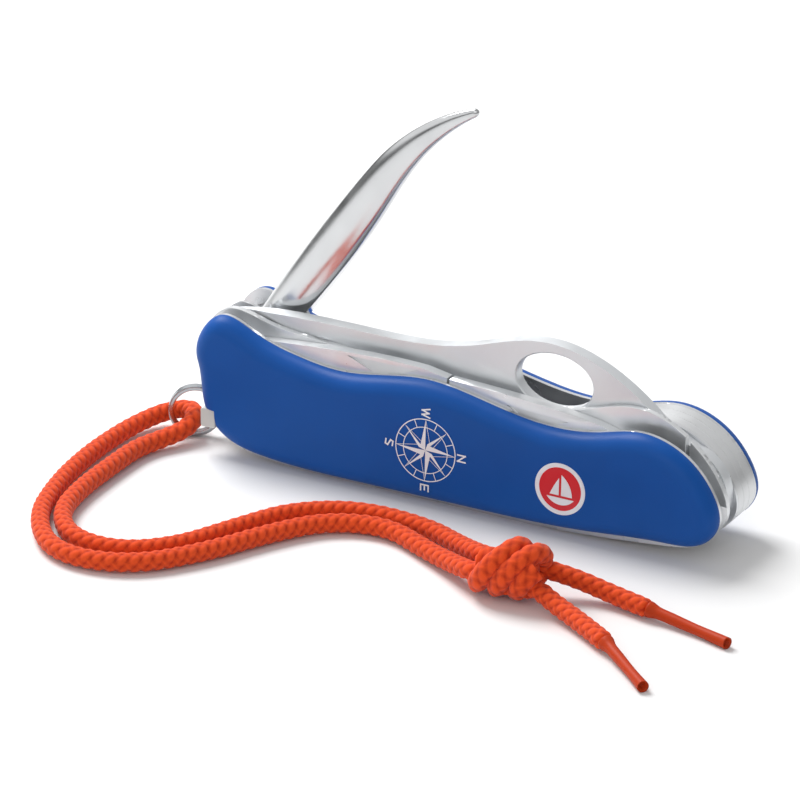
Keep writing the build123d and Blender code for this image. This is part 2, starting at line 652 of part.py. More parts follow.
for cord_name, cord_route, cord_diameter in [
    ("lanyard_outer", OUTER_ROUTE, CORD_DIAMETER),
    ("lanyard_inner", INNER_ROUTE, CORD_DIAMETER),
    ("lanyard_upper_tail", UPPER_TAIL, CORD_DIAMETER),
    ("lanyard_lower_tail", LOWER_TAIL, CORD_DIAMETER),
    ("lanyard_upper_tip", UPPER_TIP, TIP_DIAMETER),
    ("lanyard_lower_tip", LOWER_TIP, TIP_DIAMETER),
]:
    make_cord(cord_name, cord_route, cord_diameter)

with BuildPart() as lanyard_knot:
    knot_axis = (cos(radians(KNOT_TURN)), sin(radians(KNOT_TURN)), 0)
    knot_middle = (*KNOT_CENTRE, KNOT_DIAMETER / 2 + BOUNDARY_GAP)
    with BuildSketch(Plane(origin=knot_middle, x_dir=knot_axis, z_dir=(0, 0, 1))):
        Ellipse(KNOT_LENGTH / 2, KNOT_DIAMETER / 2)
        with Locations((0, -KNOT_DIAMETER)):
            Rectangle(2 * KNOT_LENGTH, 2 * KNOT_DIAMETER, mode=Mode.SUBTRACT)
    revolve(axis=Axis(knot_middle, knot_axis))
save(lanyard_knot, "lanyard_knot")
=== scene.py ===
"""Looks of the rigging knife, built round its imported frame.

Metres, +X towards the blade's pivot, front scale at -Y, +Z up; MM turns the millimetres below into metres.
"""
import json
from math import cos, pi, radians, sin

import bmesh
import bpy
import numpy as np
from mathutils import Matrix, Quaternion, Vector

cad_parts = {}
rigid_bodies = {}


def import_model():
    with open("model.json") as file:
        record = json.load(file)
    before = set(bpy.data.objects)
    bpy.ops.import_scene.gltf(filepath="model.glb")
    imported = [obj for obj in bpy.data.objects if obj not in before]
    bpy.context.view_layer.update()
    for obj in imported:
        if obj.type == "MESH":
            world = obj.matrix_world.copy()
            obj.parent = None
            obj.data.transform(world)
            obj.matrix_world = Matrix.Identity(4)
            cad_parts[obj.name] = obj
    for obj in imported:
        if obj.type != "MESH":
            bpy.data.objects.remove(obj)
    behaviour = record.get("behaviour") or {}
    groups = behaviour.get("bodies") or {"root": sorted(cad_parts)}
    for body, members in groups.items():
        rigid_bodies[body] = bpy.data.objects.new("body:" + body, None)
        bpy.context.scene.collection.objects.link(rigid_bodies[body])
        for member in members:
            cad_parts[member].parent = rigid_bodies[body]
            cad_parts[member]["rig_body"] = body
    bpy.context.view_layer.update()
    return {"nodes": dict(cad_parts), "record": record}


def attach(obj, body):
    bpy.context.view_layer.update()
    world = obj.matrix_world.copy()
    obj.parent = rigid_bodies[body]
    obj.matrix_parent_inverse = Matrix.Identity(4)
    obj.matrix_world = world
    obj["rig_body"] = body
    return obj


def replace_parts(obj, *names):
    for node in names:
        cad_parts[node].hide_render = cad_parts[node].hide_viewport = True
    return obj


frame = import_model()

MM = 0.001
scene = bpy.context.scene


def millimetres(*values):
    """Place in metres of coordinates in millimetres."""
    return Vector(values) * MM


def link(name, data, body):
    """Make an object of this data that rides on a CAD body."""
    piece = bpy.data.objects.new(name, data)
    scene.collection.objects.link(piece)
    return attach(piece, body)


def add_skin(builder, rings):
    """Join rings of places, which all have the same number, into one skin with flat ends."""
    loops = [[builder.verts.new(place) for place in ring] for ring in rings]
    faces = []
    for before, after in zip(loops, loops[1:]):
        for side in range(len(before)):
            following = (side + 1) % len(before)
            corners = (before[side], before[following], after[following], after[side])
            faces.append(builder.faces.new(corners))
    faces.append(builder.faces.new(list(reversed(loops[0]))))
    faces.append(builder.faces.new(loops[-1]))
    return faces


def built_mesh(name, builder):
    """Turn what the builder holds into a mesh."""
    mesh = bpy.data.meshes.new(name)
    builder.to_mesh(mesh)
    builder.free()
    return mesh


# ================================================================ camera
CAMERA_TARGET = millimetres(-15.71, 0.55, 15.005)
CAMERA_AZIMUTH = radians(27.646)
CAMERA_ELEVATION = radians(23.515)
CAMERA_ROLL = radians(1.162)
CAMERA_DISTANCE = 1139.0 * MM
CAMERA_LENS = 270.2

camera_data = bpy.data.cameras.new("camera")
camera_data.lens = CAMERA_LENS
camera_data.clip_start = 0.01
camera = bpy.data.objects.new("camera", camera_data)
scene.collection.objects.link(camera)
camera_back = Vector((
    sin(CAMERA_AZIMUTH) * cos(CAMERA_ELEVATION),
    -cos(CAMERA_AZIMUTH) * cos(CAMERA_ELEVATION),
    sin(CAMERA_ELEVATION),
))
camera.location = CAMERA_TARGET + camera_back * CAMERA_DISTANCE
camera.rotation_mode = "QUATERNION"
camera_roll = Quaternion(camera_back, CAMERA_ROLL)
camera.rotation_quaternion = camera_roll @ (-camera_back).to_track_quat("-Z", "Y")
scene.camera = camera

# ================================================================ lanyard routes
# the CAD part's own points, in millimetres, used here as control points of a smooth line
CORD = 4.0
TIP = 2.1
FLOOR = 2.05
TIP_FLOOR = 1.1
BIGHT_END = (-59.0, -11.6, 2.5)
OUTER_ROUTE = [
    BIGHT_END, (-57.2, -8.4, 3.0), (-57.3, -4.0, 4.6), (-60.9, -1.3, 4.0), (-65.2, -2.6, 2.9),
    (-67.6, -8.8, 2.3), (-68.6, -17.0, FLOOR), (-68.4, -28.0, FLOOR), (-66.6, -41.0, FLOOR),
    (-62.2, -56.0, FLOOR), (-51.5, -67.6, FLOOR), (-37.0, -65.6, FLOOR), (-27.6, -53.6, FLOOR),
    (-20.8, -39.0, FLOOR), (-14.2, -29.6, FLOOR), (-3.6, -26.2, FLOOR), (7.4, -31.8, FLOOR),
    (15.4, -36.4, 3.0), (22.4, -41.2, 4.8),
]
INNER_ROUTE = [
    BIGHT_END, (-60.6, -14.4, 2.06), (-62.1, -19.2, FLOOR), (-62.1, -28.0, FLOOR), (-61.7, -41.0, FLOOR),
    (-59.4, -52.0, FLOOR), (-52.2, -60.2, FLOOR), (-41.4, -60.8, FLOOR), (-33.2, -53.4, FLOOR),
    (-28.0, -41.0, FLOOR), (-22.4, -29.0, FLOOR), (-11.4, -22.0, FLOOR), (3.2, -22.8, FLOOR),
    (12.8, -28.6, 3.0), (21.6, -35.4, 5.6),
]
UPPER_TAIL = [(32.4, -34.6, 5.6), (38.6, -32.3, 3.9), (46.4, -31.8, FLOOR), (54.0, -33.8, FLOOR)]
LOWER_TAIL = [(33.0, -39.2, 4.2), (38.8, -41.4, 2.5), (46.4, -45.4, FLOOR), (53.4, -50.2, FLOOR)]
UPPER_TIP = [(54.0, -33.8, FLOOR), (62.6, -34.9, TIP_FLOOR), (71.6, -37.7, TIP_FLOOR)]
LOWER_TIP = [(53.4, -50.2, FLOOR), (60.0, -55.4, TIP_FLOOR), (66.2, -61.2, TIP_FLOOR)]
KNOT_CENTRE = Vector((28.0, -38.2, 6.05))
KNOT_TURN = radians(4.0)
LEAST_STEPS = 8
NEARLY_UPRIGHT = 0.1


def smooth_line(route):
    """Points in metres along the NURBS line whose control points are the route, in millimetres."""
    curve = bpy.data.curves.new("route", "CURVE")
    curve.dimensions = "3D"
    curve.resolution_u = 24
    spline = curve.splines.new("NURBS")
    spline.points.add(len(route) - 1)
    for point, place in zip(spline.points, route):
        point.co = (*(Vector(place) * MM), 1.0)
    spline.order_u = 3
    spline.use_endpoint_u = True
    holder = bpy.data.objects.new("route", curve)
    scene.collection.objects.link(holder)
    bpy.context.view_layer.update()
    line = bpy.data.meshes.new_from_object(holder)
    points = np.array([vertex.co for vertex in line.vertices])
    bpy.data.objects.remove(holder)
    return points


def evenly(points, step):
    """The same line with its points an even step apart, and their distances along it."""
    runs = np.linalg.norm(np.diff(points, axis=0), axis=1)
    along = np.concatenate([[0.0], np.cumsum(runs)])
    steps = max(LEAST_STEPS, int(round(along[-1] / step)))
    distance = np.linspace(0.0, along[-1], steps + 1)
    spaced = np.stack([np.interp(distance, along, points[:, axis]) for axis in range(3)], axis=1)
    return spaced, distance


def carried_frames(points):
    """Two directions across the line at each point, carried along it without twist."""
    ahead = np.gradient(points, axis=0)
    ahead /= np.linalg.norm(ahead, axis=1)[:, None]
    first = np.cross(ahead[0], (0.0, 0.0, 1.0))
    if np.linalg.norm(first) < NEARLY_UPRIGHT:
        first = np.cross(ahead[0], (0.0, 1.0, 0.0))
    across = np.zeros_like(points)
    across[0] = first / np.linalg.norm(first)
    for number in range(1, len(points)):
        moved = across[number - 1] - ahead[number] * (across[number - 1] @ ahead[number])
        across[number] = moved / np.linalg.norm(moved)
    return across, np.cross(ahead, across)


def tube_mesh(name, points, radius, shade):
    """Closed tube whose radius is an array over (point, angle); so is shade, the painted shade of the
    braid's valleys, stored as 'depth'.
    """
    count, around = radius.shape
    across, up = carried_frames(points)
    angle = np.linspace(0.0, 2 * pi, around, endpoint=False)
    rings = points[:, None, :] + radius[:, :, None] * (
        np.cos(angle)[None, :, None] * across[:, None, :] + np.sin(angle)[None, :, None] * up[:, None, :]
    )
    places = np.concatenate([rings.reshape(-1, 3), points[:1], points[-1:]])
    ring, side = np.meshgrid(np.arange(count - 1), np.arange(around), indexing="ij")
    after = (side + 1) % around
    here, next_ring = ring * around, (ring + 1) * around
    walls = np.stack([here + side, here + after, next_ring + after, next_ring + side], axis=-1)
    start_centre, end_centre = count * around, count * around + 1
    last_ring = (count - 1) * around
    edges = [(side, (side + 1) % around) for side in range(around)]
    caps = [(start_centre, b, a) for a, b in edges]
    caps += [(end_centre, last_ring + a, last_ring + b) for a, b in edges]
    mesh = bpy.data.meshes.new(name)
    mesh.from_pydata(places.tolist(), [], walls.reshape(-1, 4).tolist() + caps)
    mesh.polygons.foreach_set("use_smooth", [True] * len(mesh.polygons))
    # the 'depth' attribute carries painted shade: low in the braid's valleys, where the material darkens
    # the colour
    depth = mesh.attributes.new("depth", "FLOAT", "POINT")
    values = np.concatenate([shade.reshape(-1), shade[:1].mean(axis=1), shade[-1:].mean(axis=1)])
    depth.data.foreach_set("value", values.astype(np.float32))
    mesh.update()
    return mesh


# ================================================================ braided cord
BRAID_STRANDS = 4
BRAID_PITCH = 2.15 * MM
BRAID_RELIEF = 0.22 * MM
BRAID_WEAVE = 0.08 * MM
BRAID_LEAD = 0.07 * MM
BRAID_FLOOR = 0.10 * MM
YARNS_PER_STRAND = 3
YARN_RELIEF = 0.05 * MM
STRAND_DIAMETER = 3.75 * MM
AROUND = 60
STEP = 0.2 * MM
SHOULDER_LENGTH = 1.3 * MM
SHOULDER_END = 0.35


def braid_relief(angle, distance):
    """Height over the cord's core of the top strand of a plain over-and-under braid, at each place."""
    turn = BRAID_STRANDS * angle[None, :] / (2 * pi)
    travel = distance[:, None] / BRAID_PITCH
    right, left = turn + travel, turn - travel
    heights = []
    for strand, other, sign, lead in ((right, left, 1.0, BRAID_LEAD), (left, right, -1.0, 0.0)):
        lane = np.floor(strand)
        across = 2.0 * (strand - lane) - 1.0
        crown = 1.0 - across**2
        yarns = YARN_RELIEF * np.abs(np.sin(pi * YARNS_PER_STRAND * (strand - lane)))
        over = sign * np.where(lane % 2 == 0, 1.0, -1.0) * np.sin(pi * other)
        heights.append(BRAID_RELIEF * crown + BRAID_WEAVE * over + yarns + lead)
    return np.maximum(np.maximum(*heights), BRAID_FLOOR)


def braided_tube(name, points, diameter, relief=1.0, end_rounding=0.0):
    """Mesh, even points and length of a braided cord; its far end may have a blunt shoulder."""
    spaced, distance = evenly(points, STEP)
    angle = np.linspace(0.0, 2 * pi, AROUND, endpoint=False)
    bumps = braid_relief(angle, distance)
    top = BRAID_RELIEF + BRAID_WEAVE + YARN_RELIEF + BRAID_LEAD
    radius = diameter / 2 - relief * (top - bumps)
    if end_rounding:
        left = np.clip((distance[-1] - distance) / end_rounding, 0.0, 1.0)
        shoulder = SHOULDER_END + (1.0 - SHOULDER_END) * np.sqrt(1.0 - (1.0 - left) ** 2)
        radius = radius * shoulder[:, None]
    # painted shade: 0 in the braid's valleys, 1 on the strands' crowns; the cord's material darkens its
    # colour by it
    shade = (bumps - BRAID_FLOOR) / (top - BRAID_FLOOR)
    return tube_mesh(name, spaced, radius, shade), spaced, distance[-1]


# ================================================================ materials
NOISE_MIDDLE = (0.3, 0.7)
COLOUR_STOPS = (0.2, 0.75)
# for each family: noise scale of its patches, and the range of its colour and roughness over them
METAL_PATCHES, METAL_TONES, METAL_GLOSS = 160.0, (0.93, 1.05), (0.8, 1.25)
PLASTIC_PATCHES, PLASTIC_TONES, PLASTIC_GLOSS = 90.0, (0.94, 1.06), (0.92, 1.08)
GRINDING = (0.03, 1.0, 1.0)


def new_material(name, colour, roughness, metallic=0.0, **sockets):
    """Principled material with uniform values set on the shader's own sockets."""
    material = bpy.data.materials.new(name)
    material.use_nodes = True
    shader = material.node_tree.nodes["Principled BSDF"]
    shader.inputs["Base Color"].default_value = (*colour, 1.0)
    shader.inputs["Roughness"].default_value = roughness
    shader.inputs["Metallic"].default_value = metallic
    for socket, value in sockets.items():
        shader.inputs[socket.replace("_", " ")].default_value = value
    return material


def add_node(material, kind, **settings):
    """New shader node with these settings."""
    node = material.node_tree.nodes.new(kind)
    for setting, value in settings.items():
        setattr(node, setting, value)
    return node


def wire(material, source, target):
    material.node_tree.links.new(source, target)


def stretched_noise(material, scale, detail, stretch=(1.0, 1.0, 1.0)):
    """Noise in the piece's own metres, drawn out along the axes where stretch is small."""
    place = add_node(material, "ShaderNodeTexCoord")
    mapping = add_node(material, "ShaderNodeMapping")
    mapping.inputs["Scale"].default_value = stretch
    noise = add_node(material, "ShaderNodeTexNoise")
    noise.inputs["Scale"].default_value = scale
    noise.inputs["Detail"].default_value = detail
    wire(material, place.outputs["Object"], mapping.inputs["Vector"])
    wire(material, mapping.outputs["Vector"], noise.inputs["Vector"])
    return noise.outputs["Fac"]


def remap(material, value, low, high):
    """The value's middle range spread from low to high."""
    node = add_node(material, "ShaderNodeMapRange")
    node.inputs["From Min"].default_value, node.inputs["From Max"].default_value = NOISE_MIDDLE
    node.inputs["To Min"].default_value = low
    node.inputs["To Max"].default_value = high
    wire(material, value, node.inputs["Value"])
    return node.outputs["Result"]


def vary_colour(material, value, dark, light):
    """Base colour that runs from dark to light with the value's middle range."""
    ramp = add_node(material, "ShaderNodeValToRGB")
    for stop, position, colour in zip(ramp.color_ramp.elements, COLOUR_STOPS, (dark, light)):
        stop.position = position
        stop.color = (*colour, 1.0)
    wire(material, value, ramp.inputs["Fac"])
    shader = material.node_tree.nodes["Principled BSDF"]
    wire(material, ramp.outputs["Color"], shader.inputs["Base Color"])


def vary_roughness(material, value, low, high):
    shader = material.node_tree.nodes["Principled BSDF"]
    wire(material, remap(material, value, low, high), shader.inputs["Roughness"])


def add_bump(material, value, distance, strength=1.0):
    bump = add_node(material, "ShaderNodeBump")
    bump.inputs["Distance"].default_value = distance
    bump.inputs["Strength"].default_value = strength
    wire(material, value, bump.inputs["Height"])
    shader = material.node_tree.nodes["Principled BSDF"]
    wire(material, bump.outputs["Normal"], shader.inputs["Normal"])


def add_wear(material, colour, roughness, patches, tones, gloss):
    """Patches of slightly different colour and gloss."""
    dark, light = ([min(1.0, channel * tone) for channel in colour] for tone in tones)
    vary_colour(material, patches, dark, light)
    vary_roughness(material, patches, roughness * gloss[0], roughness * gloss[1])


def metal(name, tint, roughness, lines, depth, metallic=1.0):
    """Ground or polished metal: fine lines along X, patches of wear in its gloss and tone."""
    material = new_material(name, tint, roughness, metallic)
    patches = stretched_noise(material, METAL_PATCHES, detail=3.0)
    add_wear(material, tint, roughness, patches, METAL_TONES, METAL_GLOSS)
    add_bump(material, stretched_noise(material, lines, stretch=GRINDING, detail=2.0), depth)
    return material


def moulding(name, colour, roughness, grain, depth, **sockets):
    """Moulded plastic with a fine grain and slight tone changes."""
    material = new_material(name, colour, roughness, **sockets)
    patches = stretched_noise(material, PLASTIC_PATCHES, detail=2.0)
    add_wear(material, colour, roughness, patches, PLASTIC_TONES, PLASTIC_GLOSS)
    add_bump(material, stretched_noise(material, grain, detail=3.0), depth)
    return material


SCALE_BLUE = (0.0045, 0.074, 0.325)
TIP_ORANGE = (0.44, 0.040, 0.007)
# the cord's colour under painted shade in the braid's valleys, and its colour on the strands' crowns
CORD_PAINTED_SHADE = (0.44, 0.031, 0.006)
CORD_LIGHT = (0.74, 0.076, 0.014)
FIBRES = 1500.0
FIBRE_SHARE = 0.28
FIBRE_RELIEF = 0.05 * MM


def braided_fabric():
    """Orange polyester braid: painted shade darkens it between its strands; fuzzy, with a fine yarn grain.
    """
    material = new_material(
        "cord_fabric", CORD_LIGHT, 0.78, Specular_IOR_Level=0.12, Sheen_Weight=0.12, Sheen_Roughness=0.5,
    )
    # painted shade between the strands, read from the mesh, with random fibre tone mixed in
    depth = add_node(material, "ShaderNodeAttribute", attribute_name="depth")
    fibres = stretched_noise(material, FIBRES, detail=3.0)
    mix = add_node(material, "ShaderNodeMath", operation="MULTIPLY_ADD")
    mix.inputs[1].default_value = FIBRE_SHARE
    wire(material, fibres, mix.inputs[0])
    wire(material, depth.outputs["Fac"], mix.inputs[2])
    shift = add_node(material, "ShaderNodeMath", operation="SUBTRACT")
    shift.inputs[1].default_value = FIBRE_SHARE / 2
    wire(material, mix.outputs["Value"], shift.inputs[0])
    vary_colour(material, shift.outputs["Value"], CORD_PAINTED_SHADE, CORD_LIGHT)
    add_bump(material, fibres, FIBRE_RELIEF, strength=0.6)
    return material


# by slot of the record: name, colour, roughness, scale and depth of the grain, how metallic if not fully
materials = {
    "scale": moulding("scale_plastic", SCALE_BLUE, 0.42, 2600.0, 0.006 * MM, Specular_IOR_Level=0.16),
    "badge_white": moulding("badge_white_enamel", (0.77, 0.80, 0.84), 0.35, 1500.0, 0.004 * MM),
    "badge_red": moulding("badge_red_enamel", (0.62, 0.010, 0.020), 0.35, 1500.0, 0.004 * MM),
    "grey_plastic": moulding("grey_moulding", (0.56, 0.57, 0.55), 0.42, 2000.0, 0.01 * MM),
    "ivory_plastic": moulding("ivory_moulding", (0.72, 0.68, 0.56), 0.45, 2000.0, 0.01 * MM),
    "liner": metal("liner_sheet", (0.66, 0.67, 0.69), 0.30, 900.0, 0.004 * MM),
    "polished_steel": metal("polished_plate", (0.72, 0.735, 0.75), 0.34, 1400.0, 0.002 * MM, 0.85),
    "spring_steel": metal("ground_spring", (0.68, 0.69, 0.70), 0.36, 900.0, 0.004 * MM, 0.85),
    "pin_steel": metal("turned_pin", (0.60, 0.60, 0.60), 0.28, 1200.0, 0.003 * MM),
    "brass": metal("turned_brass", (0.72, 0.52, 0.22), 0.28, 1200.0, 0.003 * MM),
    "blade_steel": metal("satin_blade", (0.68, 0.70, 0.72), 0.42, 1800.0, 0.003 * MM, 0.8),
    "spike_steel": metal("bright_spike", (0.62, 0.63, 0.64), 0.17, 1200.0, 0.0015 * MM),
    "ring_steel": metal("ring_wire", (0.42, 0.44, 0.46), 0.22, 900.0, 0.003 * MM),
    "cord": braided_fabric(),
    "cord_tip": moulding("sealed_tip", TIP_ORANGE, 0.45, 900.0, 0.05 * MM, Specular_IOR_Level=0.12),
}


def coat(piece, slot):
    """Give a piece the material of one of the record's slots."""
    piece.data.materials.clear()
    piece.data.materials.append(materials[slot])


def finish_piece(piece, slot):
    """Coat a new piece with the material of one of the record's slots."""
    coat(piece, slot)


# ================================================================ lanyard
knot_axes = Matrix.Rotation(KNOT_TURN, 3, "Z")


def knot_route(path):
    """Route in the part's millimetres of a wrap given as (along, angle from the front, distance)."""
    places = []
    for along, angle, reach in path:
        local = Vector((along, -reach * cos(radians(angle)), reach * sin(radians(angle))))
        places.append(KNOT_CENTRE + knot_axes @ local)
    return places


KNOT_WRAPS = {
    "left_wrap": [
        (-5.6, -170, 1.6), (-6.4, -125, 3.4), (-6.0, -75, 4.1), (-4.8, -30, 4.2), (-2.8, 15, 4.2),
        (-0.4, 55, 4.3), (1.2, 90, 4.5), (1.6, 135, 4.2), (0.8, 180, 4.0), (-0.2, 225, 4.0),
        (-0.6, 270, 4.0), (0.2, 315, 3.4),
    ],
    "middle_wrap": [
        (-3.0, -165, 2.0), (-3.0, -120, 3.7), (-2.2, -75, 4.2), (-0.9, -30, 4.3), (1.1, 15, 4.2),
        (3.4, 55, 4.0), (4.9, 90, 3.9), (5.3, 135, 3.7), (4.8, 180, 3.7), (4.0, 225, 3.8),
        (3.6, 270, 3.8), (4.4, 315, 3.2),
    ],
    "right_wrap": [
        (-0.8, -150, 2.0), (0.8, -110, 3.8), (1.9, -70, 4.1), (3.1, -30, 3.9), (4.6, 5, 3.5),
        (6.0, 35, 2.6),
    ],
}
KNOT_CORE = [(-5.6, 0, 0.0), (-2.0, 0, 0.2), (2.0, 0, 0.2), (5.2, 0, 0.0)]
KNOT_CORE_DIAMETER = 6.2
KNOT_RELIEF = 0.8


def knot_strand(name, path, diameter):
    """Mesh of one braided strand of the knot."""
    return braided_tube(name, smooth_line(knot_route(path)), diameter * MM, relief=KNOT_RELIEF)[0]


joined = bmesh.new()
for wrap_name, wrap in KNOT_WRAPS.items():
    joined.from_mesh(knot_strand(wrap_name, wrap, CORD))
joined.from_mesh(knot_strand("core", KNOT_CORE, KNOT_CORE_DIAMETER))
knot_mesh = built_mesh("knot", joined)
knot = link("knot", knot_mesh, "key_ring")
finish_piece(knot, "cord")
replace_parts(knot, "lanyard_knot")


TIP_STEP = 0.25 * MM
TIP_AROUND = 28
ROOT_SWELLING = 0.5 * MM
ROOT_LENGTH = 1.4 * MM
TIP_WAVE = 0.06 * MM
TIP_WAVE_LENGTH = 2.3 * MM
# rings of the dished end: depth in steps, and share of the tip's radius
DISH_DEPTHS = (1.0, 4.0, 5.0)
DISH_SHARES = (0.80, 0.55, 0.25)


def sealed_tip(name, route, node):
    """Heat-sealed end: a thin smooth tube with a swelling at its root and a dished cut end."""
    spaced, distance = evenly(smooth_line(route), TIP_STEP)
    swelling = ROOT_SWELLING * np.exp(-((distance / ROOT_LENGTH) ** 2))
    waviness = TIP_WAVE * np.sin(distance / TIP_WAVE_LENGTH)
    radius = TIP / 2 * MM + swelling + waviness
    inward = spaced[-1] + (spaced[-2] - spaced[-1]) * np.array(DISH_DEPTHS)[:, None]
    spaced = np.concatenate([spaced, inward])
    radius = np.concatenate([radius, np.array(DISH_SHARES) * TIP / 2 * MM])
    mesh = tip_tube(name, spaced, radius)
    piece = link(name, mesh, "key_ring")
    finish_piece(piece, "cord_tip")
    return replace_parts(piece, node)


def tip_tube(name, points, radius):
    """Tube whose last rings turn back inside it, using the frame of its last outside ring."""
    inside = len(DISH_DEPTHS)
    across, up = carried_frames(points[:-inside])
    across = np.concatenate([across, np.repeat(across[-1:], inside, axis=0)])
    up = np.concatenate([up, np.repeat(up[-1:], inside, axis=0)])
    angle = np.linspace(0.0, 2 * pi, TIP_AROUND, endpoint=False)
    rings = [
        [point + reach * (cos(turn) * aside + sin(turn) * above) for turn in angle]
        for point, reach, aside, above in zip(points, radius, across, up)
    ]
    builder = bmesh.new()
    for face in add_skin(builder, rings):
        face.smooth = True
    return built_mesh(name, builder)


upper_tip = sealed_tip("upper_tip", UPPER_TIP, "lanyard_upper_tip")
lower_tip = sealed_tip("lower_tip", LOWER_TIP, "lanyard_lower_tip")

STRANDS = {
    "outer_strand": (OUTER_ROUTE + LOWER_TAIL, ("lanyard_outer", "lanyard_lower_tail"), [lower_tip, knot]),
    "inner_strand": (INNER_ROUTE + UPPER_TAIL, ("lanyard_inner", "lanyard_upper_tail"), [upper_tip]),
}
for strand_name, (strand_route, strand_nodes, strand_pieces) in STRANDS.items():
    strand_mesh, strand_path, strand_length = braided_tube(
        strand_name, smooth_line(strand_route), STRAND_DIAMETER, end_rounding=SHOULDER_LENGTH,
    )
    strand = link(strand_name, strand_mesh, "key_ring")
    finish_piece(strand, "cord")
    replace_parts(strand, *strand_nodes)


# ================================================================ marlinspike
# centre line X and Z in millimetres, direction above +X in degrees, width and thickness in millimetres;
# as in the CAD part, except that the first starts deeper in the handle and the last two are blunter
SPIKE_SECTIONS = np.array([
    (-43.6, 23.6, 58.0, 9.4, 6.4), (-37.2, 33.8, 57.5, 9.3, 6.3), (-31.7, 42.3, 57.0, 9.0, 6.0),
    (-24.6, 53.1, 54.0, 8.1, 5.4), (-19.1, 61.5, 48.0, 6.7, 4.5), (-13.5, 67.7, 38.0, 4.8, 3.4),
    (-6.1, 73.3, 28.0, 2.8, 2.3), (-2.0, 75.1, 22.0, 1.5, 1.3),
])
SPIKE_Y = 3.65
SPIKE_ROOT = 6.4
POINT_ROUNDING = 1.0
POINT_CROWDING = 1.5
POINT_BLUNTNESS = 0.2
SPIKE_STATIONS = 110
SPIKE_AROUND = 96
SPIKE_SQUARENESS = 2.25
SMOOTHING_PASSES = 40
FLAT_FADE = 26.0
FLAT_DEPTH = 0.30
FLAT_EASE = 1.5
LEFT_PIVOT = (-47.0, 18.0)
TANG_RADIUS = 7.6
TANG_SIDES = 64
TANG_HALF = 3.25
ARM_LENGTH = 8.0
ARM_WIDTH = 8.8
ARM_TURN = radians(58.0)


def spread_sections():
    """The spike's sections rounded off between the given ones, at stations that crowd towards its tip."""
    runs = np.linalg.norm(np.diff(SPIKE_SECTIONS[:, :2], axis=0), axis=1)
    along = np.concatenate([[0.0], np.cumsum(runs)])
    even = np.linspace(0.0, along[-1], SPIKE_STATIONS)
    spread = np.stack([np.interp(even, along, column) for column in SPIKE_SECTIONS.T], axis=1)
    for _ in range(SMOOTHING_PASSES):
        spread[1:-1] = (spread[:-2] + spread[1:-1] + spread[2:]) / 3
    stations = along[-1] * (1.0 - np.linspace(1.0, 0.0, SPIKE_STATIONS) ** POINT_CROWDING)
    return np.stack([np.interp(stations, even, column) for column in spread.T], axis=1), stations


def spike_rings():
    """Places round the horn, one ring a station.

    Each is a squarish oval with a flat on its lower right side, deepest at the root.
    """
    spread, stations = spread_sections()
    angle = np.linspace(0.0, 2 * pi, SPIKE_AROUND, endpoint=False)
    power = 2.0 / SPIKE_SQUARENESS
    unit_u = np.sign(np.cos(angle)) * np.abs(np.cos(angle)) ** power
    unit_v = np.sign(np.sin(angle)) * np.abs(np.sin(angle)) ** power
    rings = []
    for (x, z, heading, width, thickness), station in zip(spread, stations):
        left = min(1.0, (stations[-1] - station) / POINT_ROUNDING)
        blunt = max(POINT_BLUNTNESS, np.sqrt(1.0 - (1.0 - left) ** 2))
        fade = min(1.0, max(0.0, 1.0 - (station - SPIKE_ROOT) / FLAT_FADE))
        flat = 1.0 - FLAT_DEPTH * fade**FLAT_EASE
        across = Vector((sin(radians(heading)), 0.0, -cos(radians(heading)))) * blunt * width / 2
        rings.append([
            (Vector((x, SPIKE_Y + blunt * v * thickness / 2, z)) + across * min(u, flat)) * MM
            for u, v in zip(unit_u, unit_v)
        ])
    return rings


def tang_outlines():
    """Round tang and the arm that carries the horn, as outlines in millimetres at Y = 0."""
    ahead = Vector((cos(ARM_TURN), 0.0, sin(ARM_TURN)))
    aside = Vector((-sin(ARM_TURN), 0.0, cos(ARM_TURN))) * ARM_WIDTH / 2
    pivot = Vector((LEFT_PIVOT[0], 0.0, LEFT_PIVOT[1]))
    turns = [2 * pi * side / TANG_SIDES for side in range(TANG_SIDES)]
    disc = [pivot + TANG_RADIUS * Vector((cos(turn), 0.0, sin(turn))) for turn in turns]
    end = pivot + ahead * ARM_LENGTH
    return disc, [pivot - aside, end - aside, end + aside, pivot + aside]


def spike_mesh():
    """Polished horn, and a plain tang inside the handle, without the bore for its pin."""
    builder = bmesh.new()
    for face in add_skin(builder, spike_rings()):
        face.smooth = True
    for outline in tang_outlines():
        sides = (SPIKE_Y - TANG_HALF, SPIKE_Y + TANG_HALF)
        add_skin(builder, [[(place + Vector((0.0, y, 0.0))) * MM for place in outline] for y in sides])
    bmesh.ops.recalc_face_normals(builder, faces=builder.faces)
    return built_mesh("spike", builder)


spike = link("polished_spike", spike_mesh(), "marlinspike")
finish_piece(spike, "spike_steel")
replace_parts(spike, "marlinspike")

# ================================================================ split ring
RING_CENTRE = (-57.61, -4.25, 5.5)
RING_HEADING = radians(27.6)
RING_RADIUS = 4.75
WIRE_RADIAL = 0.9
WIRE_AXIAL = 0.7
RING_STEPS = 220
RING_TURNS = 1.97
RING_START = 0.6
CROSSING_START = 0.93
CROSSING_LENGTH = 0.1
TURN_GAP = 0.08
WIRE_SHARPNESS = radians(50)
# corners of the wire's section, in shares of its two sizes
WIRE_SECTION = (
    (-0.5, -0.42), (-0.42, -0.5), (0.42, -0.5), (0.5, -0.42),
    (0.5, 0.42), (0.42, 0.5), (-0.42, 0.5), (-0.5, 0.42),
)


